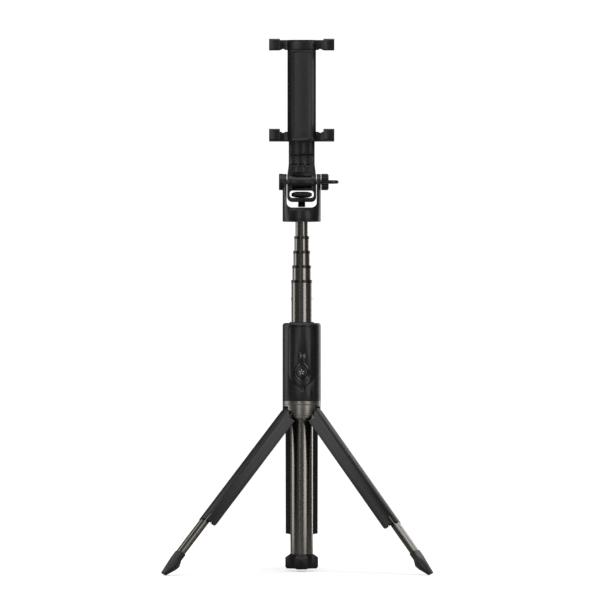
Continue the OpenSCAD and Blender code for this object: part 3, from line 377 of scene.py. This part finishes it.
# Green solder resist over glass cloth: a faint weave of two greens
weave = add(tree, "ShaderNodeTexChecker", {"Scale": 1 / (0.8 * MM), "Color1": linear("#1f5a30"),
                                           "Color2": linear("#276a3a")}, {"Vector": place})
tree.links.new(weave.outputs["Color"], shader.inputs["Base Color"])
finish_solid("circuit_board", board_green)
cell_steel = plated_steel("brushed_stainless_cell", "#9a9a99", "#c2c2bf", 0.25)
finish_solid("coin_cell", cell_steel)
finish_solid("tact_switch", zinc_steel)

# ---- shutter button ----
# The round push button: a domed cap of satin ABS with a rolled edge, and a small pale mark
# of a shutter's blades printed in the middle. It rides on the switch under it.
low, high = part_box("shutter_button")
button_r = (high.x - low.x) / 2
button_z = (low.z + high.z) / 2
crown_r = -low.y
bm = bmesh.new()
count = 48
profile = ((0.35, 0.0), (0.6, 0.0), (0.8, 0.0), (0.9, 0.0), (0.96, 0.12 * MM), (0.99, 0.3 * MM),
           (1.0, 0.55 * MM))
around = [(math.cos(k * math.tau / count), math.sin(k * math.tau / count)) for k in range(count)]
rings = []
for share, drop in profile:
    r = share * button_r
    rings.append([bm.verts.new((r * x, -math.sqrt(crown_r ** 2 - (r * x) ** 2) + drop,
                                button_z + r * z)) for x, z in around])
rings.append([bm.verts.new((button_r * x, high.y, button_z + button_r * z)) for x, z in around])
middle = bm.verts.new((0, low.y, button_z))
for k in range(count):
    bm.faces.new((middle, rings[0][k], rings[0][(k + 1) % count]))
for inner, outer in zip(rings, rings[1:]):
    for k in range(count):
        j = (k + 1) % count
        bm.faces.new((inner[k], outer[k], outer[j], inner[j]))
bm.faces.new(rings[-1])
button_abs = moulded_abs("moulded_abs_button", "#0c0c0d", "#131314", 0.3, 0.4, 0.006)
new_piece("shutter_button_cap", bm, button_abs, "button", "abs_gloss", "shutter_button")

pale_ink, tree, shader, place = new_finish("pad_printed_ink", Roughness=0.5, IOR=1.5)
# Pad-printed pale grey ink: thin, slightly broken at its edges
spots = add(tree, "ShaderNodeTexNoise", {"Scale": 1 / (0.4 * MM), "Detail": 2.0},
            {"Vector": place})
tree.links.new(two_tones(tree, spots.outputs["Fac"], "#b4b6b8", "#dcdee0"),
               shader.inputs["Base Color"])
ink_t, ink_root = 0.02 * MM, 0.1 * MM
bm = bmesh.new()
for blade in range(5):
    turn = math.radians(90 + blade * 72)
    shape = []
    for r, off in ((0.55, -28), (2.0, -6), (2.3, 12), (0.9, 14)):
        a = turn + math.radians(off)
        x, z = r * MM * math.cos(a), r * MM * math.sin(a)
        shape.append((x, -math.sqrt(crown_r ** 2 - x ** 2), button_z + z))
    front = [bm.verts.new((x, y - ink_t, z)) for x, y, z in shape]
    behind = [bm.verts.new((x, y + ink_root, z)) for x, y, z in shape]
    bm.faces.new(front)
    bm.faces.new(list(reversed(behind)))
    for i in range(4):
        bm.faces.new((front[i], behind[i], behind[(i + 1) % 4], front[(i + 1) % 4]))
new_piece("shutter_mark", bm, pale_ink, "button", "abs_gloss")

# ---- telescopic tubes ----
# Five tubes that draw out of the grip, each keyed by flutes and ended by a swaged collar.
# Drawn aluminium, anodised like the column; white acetal glides guide their lower ends.
tube_bodies = ("tube_a", "tube_b", "tube_c", "tube_d", "tube_e")
collar_metal = turned_aluminium("turned_aluminium_collar", "#3b3936", "#55524e", 0.28)
for number, body in enumerate(tube_bodies, 1):
    finish_solid(f"tube_{number}", gunmetal)
    finish_solid(f"glide_{number}", white_acetal)
    if number < 5:
        eased(f"collar_ring_{number}", f"collar_{number}", collar_metal, body, "anodised_collar",
              0.25)
finish_solid("lock_buttons", dark_steel)
finish_solid("pan_stud", zinc_steel)
finish_solid("pan_screw", zinc_steel)

# ---- yoke ----
# The fork that carries the head, turning on a stud in the top tube. Moulded glass-filled ABS:
# a round drum below and two thin ears above, with a wide bevel under the slot.
head_abs = moulded_abs("moulded_abs_head", "#0e0e0f", "#161617", 0.34)
eased("yoke_fork", "yoke", head_abs, "yoke", "abs_head", 0.3)

# ---- tilt hinge ----
# A steel bolt through both ears, a round cap over its head on the left, and on the right a
# ribbed nut with a thin wing for finger and thumb. Cap and nut are moulded ABS.
finish_solid("hinge_bolt", zinc_steel)
eased("bolt_cap_cover", "bolt_cap", head_abs, "yoke", "abs_head", 0.5)


def ribbed_drum(bm, r, depth, count, profile):
    """Adds a drum along Z with rounded ribs. The profile gives heights, insets and how much
    of the ribs' depth shows there. Returns the first and last rings."""
    steps = count * 8
    rings = []
    for z, inset, share in profile:
        ring = []
        for k in range(steps):
            wave = 0.5 + 0.5 * math.cos(math.tau * count * k / steps)
            here = r - inset - share * depth * (1 - min(1.0, wave * 1.5))
            angle = math.tau * k / steps
            ring.append(bm.verts.new((here * math.cos(angle), here * math.sin(angle), z)))
        rings.append(ring)
    for below, above in zip(rings, rings[1:]):
        for k in range(steps):
            j = (k + 1) % steps
            bm.faces.new((below[k], below[j], above[j], above[k]))
    return rings[0], rings[-1]


low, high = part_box("wing_knob")
tilt_axis = Vector((0, 0, (low.z + high.z) / 2))
knob_r = (high.z - low.z) / 2
wing_reach, wing_t, wing_r, wing_root, root_w = 9 * MM, 2.6 * MM, 5.6 * MM, 1 * MM, 5.4 * MM
knob_face = high.x - wing_reach + wing_root
knob_w = knob_face - low.x
bm = bmesh.new()
foot_ring, face_ring = ribbed_drum(bm, knob_r, 0.6 * MM, 24, (
    (0, 0.3 * MM, 0), (0.1 * MM, 0.2 * MM, 0.3), (0.3 * MM, 0, 1), (knob_w - 1.2 * MM, 0, 1),
    (knob_w - 0.8 * MM, 0.1 * MM, 0.7), (knob_w - 0.6 * MM, 0.55 * MM, 0),
    (knob_w - 0.2 * MM, 0.75 * MM, 0), (knob_w, 1.3 * MM, 0)))
bm.faces.new(list(reversed(foot_ring)))
bm.faces.new(face_ring)
# The wing: a rounded tongue that starts inside the drum and thins towards its rim
outline = [(knob_w - wing_root, -root_w)]
for step in range(13):
    turn = math.radians(-90 + step * 15)
    outline.append((knob_w + wing_reach - wing_root - wing_r + wing_r * math.cos(turn),
                    wing_r * math.sin(turn)))
outline.append((knob_w - wing_root, root_w))
layers = []
for lift, shrink in ((-0.5, 0.86), (-0.42, 0.95), (-0.25, 1.0), (0.25, 1.0), (0.42, 0.95),
                     (0.5, 0.86)):
    layers.append([bm.verts.new((lift * wing_t, y * shrink,
                                 knob_w + (x - knob_w) * (shrink if x > knob_w else 1)))
                   for x, y in outline])
for below, above in zip(layers, layers[1:]):
    for i in range(len(outline)):
        j = (i + 1) % len(outline)
        bm.faces.new((below[i], below[j], above[j], above[i]))
bm.faces.new(list(reversed(layers[0])))
bm.faces.new(layers[-1])
knob_foot = Matrix.Translation(tilt_axis + Vector((low.x, 0, 0)))
bmesh.ops.transform(bm, verts=bm.verts, matrix=knob_foot @ Matrix.Rotation(math.pi / 2, 4, "Y"))
new_piece("wing_nut", bm, head_abs, "knob", "abs_head", "wing_knob")

# ---- head ----
# The neck that tilts between the ears, with a ring-shaped cradle below for the thumbwheel and
# three rows of lightening pockets in front. Moulded glass-filled ABS on a steel bolt.
eased("head_moulding", "head_frame", head_abs, "head", "abs_head", 0.3)
finish_solid("swivel_bolt", zinc_steel)

# ---- thumbwheel and camera screw ----
# A ribbed wheel moulded round a quarter-inch captive screw, which points down out of the
# cradle. The wheel is ABS; the screw is blackened steel with a rolled thread.
low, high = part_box("thumbwheel")
wheel_r = (high.x - low.x) / 2
bm = bmesh.new()
rim = 0.95 * MM
half_profile = ((0, 3.1 * MM, 0), (0.35 * MM, 1.7 * MM, 0), (0.8 * MM, 0.85 * MM, 0),
                (rim, 0.35 * MM, 0.5), (rim + 0.25 * MM, 0, 1))
foot_ring, face_ring = ribbed_drum(bm, wheel_r, 0.5 * MM, 28, (
    [(low.z + z, inset, share) for z, inset, share in half_profile]
    + [(high.z - z, inset, share) for z, inset, share in reversed(half_profile)]))
bore_r, neck_r = 2.62 * MM, 2.6 * MM
bore = []
for ring, z in ((foot_ring, low.z), (face_ring, high.z)):
    hole = [bm.verts.new((bore_r * math.cos(math.tau * k / len(ring)),
                          bore_r * math.sin(math.tau * k / len(ring)), z))
            for k in range(len(ring))]
    for k in range(len(ring)):
        j = (k + 1) % len(ring)
        bm.faces.new((ring[k], ring[j], hole[j], hole[k]))
    bore.append(hole)
lower, upper = bore
for k in range(len(lower)):
    j = (k + 1) % len(lower)
    bm.faces.new((lower[k], lower[j], upper[j], upper[k]))
new_piece("ribbed_thumbwheel", bm, head_abs, "wheel", "abs_head", "thumbwheel")

low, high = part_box("camera_screw")
thread_r = (high.x - low.x) / 2
pitch, thread_depth, thread_top, point = 1.27 * MM, 0.55 * MM, low.z + 3.8 * MM, 0.4 * MM
bm = bmesh.new()
turns, fine = 48, 12
levels = [low.z + pitch / fine * i for i in range(int((thread_top - low.z) / pitch * fine) + 1)]
rings = []
for z in levels:
    ring = []
    for k in range(turns):
        phase = ((z - low.z) / pitch - k / turns) % 1.0
        groove = 1 - abs(2 * phase - 1)
        runout = min(1.0, (z - low.z) / (0.5 * MM), (thread_top - z) / (0.3 * MM) + 0.3)
        r = thread_r - thread_depth * groove * runout - max(0, point - (z - low.z))
        ring.append(bm.verts.new((r * math.cos(math.tau * k / turns),
                                  r * math.sin(math.tau * k / turns), z)))
    rings.append(ring)
for z, r in ((thread_top + 0.05 * MM, neck_r), (high.z - 0.3 * MM, neck_r), (high.z, 2.3 * MM)):
    rings.append([bm.verts.new((r * math.cos(math.tau * k / turns),
                                r * math.sin(math.tau * k / turns), z)) for k in range(turns)])
for below, above in zip(rings, rings[1:]):
    for k in range(turns):
        j = (k + 1) % turns
        bm.faces.new((below[k], below[j], above[j], above[k]))
bm.faces.new(list(reversed(rings[0])))
bm.faces.new(rings[-1])
new_piece("threaded_camera_screw", bm, dark_steel, "wheel", "steel_dark", "camera_screw")

# ---- phone clamp ----
# The lower housing with its two hooked prongs and a back cover held by four screws. Moulded
# ABS in the same satin grain, with a steel pivot bolt through the head's neck.
clamp_abs = moulded_abs("moulded_abs_clamp", "#0e0e0f", "#161617", 0.32)
eased("clamp_housing_shell", "clamp_housing", clamp_abs, "clamp", "abs_clamp", 0.45)
eased("clamp_rear_cover", "clamp_back_cover", clamp_abs, "clamp", "abs_clamp", 0.2)
finish_solid("clamp_screws", zinc_steel)

# ---- upper jaw ----
# The sliding half: a cap that meets the column's top, two hooked prongs, and a tongue that
# runs down inside the housing on two pull springs of hard-drawn wire.
eased("upper_jaw_shell", "upper_jaw", clamp_abs, "jaw", "abs_clamp", 0.45)
spring_steel = plated_steel("hard_drawn_spring_wire", "#8f8f8d", "#b9b9b5", 0.28)
finish_solid("jaw_springs", spring_steel)

# ---- rubber pads ----
# A strip down the column's front and a pad on each prong keep the phone from slipping.
# Moulded rubber, matt, with fine ribs across the prong pads; all are glued in place.
pad_rubber = moulded_rubber("moulded_rubber_pad", "#161617", "#222223", 0.42)
low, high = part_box("back_pad")
bm = bmesh.new()
across, up = 16, 40
crown, edge_drop = 0.9 * MM, 0.25 * MM
rows = []
for i in range(up + 1):
    z = low.z + (high.z - low.z) * i / up
    ends = min(i, up - i) / 1.5
    row = []
    for k in range(across + 1):
        u = -1 + 2 * k / across
        sides = min(k, across - k) / 1.5
        y = low.y + crown * u * u + edge_drop * max(0, 1 - min(ends, sides))
        row.append(bm.verts.new((high.x * u, y, z)))
    rows.append(row)
for lower, upper in zip(rows, rows[1:]):
    for k in range(across):
        bm.faces.new((lower[k], lower[k + 1], upper[k + 1], upper[k]))
rim = [e for e in bm.edges if e.is_boundary]
skirt = bmesh.ops.extrude_edge_only(bm, edges=rim)["geom"]
for vert in (g for g in skirt if isinstance(g, bmesh.types.BMVert)):
    vert.co.y = high.y
new_piece("column_strip", bm, pad_rubber, "clamp", "rubber_pad", "back_pad")

rib_h, edge_w, ribs, steps = 0.45 * MM, 0.3 * MM, 9, 8
for node, body in (("jaw_pads_lower", "clamp"), ("jaw_pads_upper", "jaw")):
    low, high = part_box(node)
    pad_w = min(v.co.x for v in frame["nodes"][node].data.vertices if v.co.x > 0)
    ribs_up = 1 if body == "clamp" else -1
    seat, crest = (low.z, high.z) if body == "clamp" else (high.z, low.z)
    for sign, hand in ((-1, "left"), (1, "right")):
        bm = bmesh.new()
        x_from, x_to = sorted((sign * pad_w, sign * high.x))
        rows = []
        for i in range(ribs * steps + 1):
            y = low.y + (high.y - low.y) * i / (ribs * steps)
            wave = abs(math.sin(math.pi * i / steps)) ** 0.6
            z = crest - ribs_up * (rib_h * (1 - wave))
            rows.append([bm.verts.new((x, y, z))
                         for x in (x_from, x_from + edge_w, x_to - edge_w, x_to)])
            rows[-1][0].co.z = rows[-1][3].co.z = z - ribs_up * edge_drop
        for a, b in zip(rows, rows[1:]):
            for k in range(3):
                bm.faces.new((a[k], a[k + 1], b[k + 1], b[k]))
        rim = [e for e in bm.edges if e.is_boundary]
        skirt = bmesh.ops.extrude_edge_only(bm, edges=rim)["geom"]
        for vert in (g for g in skirt if isinstance(g, bmesh.types.BMVert)):
            vert.co.z = seat
        new_piece(f"prong_pad_{'lower' if body == 'clamp' else 'upper'}_{hand}", bm,
                  pad_rubber, body, "rubber_pad", node)

# ---- studio ----
# A plain pale floor under the feet, soft boxes round the stick and a long lens in front.
floor_z = -2 * MM
bm = bmesh.new()
bmesh.ops.create_circle(bm, cap_ends=True, segments=96, radius=0.5)
mesh = bpy.data.meshes.new("studio_floor")
bm.to_mesh(mesh)
bm.free()
floor = bpy.data.objects.new("studio_floor", mesh)
floor.location.z = floor_z
bpy.context.scene.collection.objects.link(floor)
paper, tree, shader, place = new_finish("studio_paper", Roughness=0.9,
                                        Emission_Color=(1, 1, 1, 1))
fibre = add(tree, "ShaderNodeTexNoise", {"Scale": 60.0, "Detail": 2.0}, {"Vector": place})
# Bright to the lens, but a soft grey to the stick, so that it throws little light back up
to_lens = add(tree, "ShaderNodeLightPath").outputs["Is Camera Ray"]
tone = add(tree, "ShaderNodeMix", data_type="RGBA",
           links={0: to_lens, 7: two_tones(tree, fibre.outputs["Fac"], "#f4f4f4", "#fafafa")})
tone.inputs[6].default_value = linear("#8f8f8f")
glow = add(tree, "ShaderNodeMath", {1: 0.42}, {0: to_lens}, operation="MULTIPLY")
tree.links.new(tone.outputs[2], shader.inputs["Base Color"])
tree.links.new(glow.outputs[0], shader.inputs["Emission Strength"])
mesh.materials.append(paper)

world = bpy.data.worlds.new("studio")
world.use_nodes = True
tree = world.node_tree
tree.nodes.clear()
# A white backdrop to the lens, and a dim even fill to the stick
backdrop = add(tree, "ShaderNodeBackground", {"Color": (1, 1, 1, 1), "Strength": 1.05})
fill = add(tree, "ShaderNodeBackground", {"Color": (1, 1, 1, 1), "Strength": 0.11})
to_lens = add(tree, "ShaderNodeLightPath").outputs["Is Camera Ray"]
sky = add(tree, "ShaderNodeMixShader",
          links={0: to_lens, 1: fill.outputs[0], 2: backdrop.outputs[0]})
add(tree, "ShaderNodeOutputWorld", links={"Surface": sky.outputs[0]})
bpy.context.scene.world = world

stick_middle = Vector((0, 0, 0.2))
# Name, bearing in degrees from the front towards +X, distance, height, width, tall, watts
for name, bearing, distance, height, wide, tall, watts in (
        ("box_left", -102, 1.5, 0.45, 0.9, 1.5, 7), ("box_key", -15, 2.1, 0.45, 0.45, 1.8, 6),
        ("box_right", 37, 1.9, 0.5, 0.75, 1.6, 8), ("box_right_rim", 142, 1.6, 0.45, 0.8, 1.5, 7),
        ("box_top", 0, 0.3, 1.9, 2.4, 2.4, 34)):
    lamp = bpy.data.lights.new(name, "AREA")
    lamp.shape, lamp.size, lamp.size_y, lamp.energy = "RECTANGLE", wide, tall, watts
    box = bpy.data.objects.new(name, lamp)
    box.location = (distance * math.sin(math.radians(bearing)),
                    -distance * math.cos(math.radians(bearing)), height)
    box.rotation_euler = (box.location - stick_middle).to_track_quat("Z", "Y").to_euler()
    box.visible_camera = False
    bpy.context.scene.collection.objects.link(box)

bpy.context.scene.view_settings.view_transform = "Standard"
lens = bpy.data.cameras.new("studio_camera")
lens.lens, lens.sensor_width = 240, 36
lens.shift_x, lens.shift_y = -0.0028, 0.0833
lens.clip_end = 20
camera = bpy.data.objects.new("studio_camera", lens)
camera.location = (0, -3.2, 0.175)
camera.rotation_euler = (math.pi / 2, 0, 0)
bpy.context.scene.collection.objects.link(camera)
bpy.context.scene.camera = camera
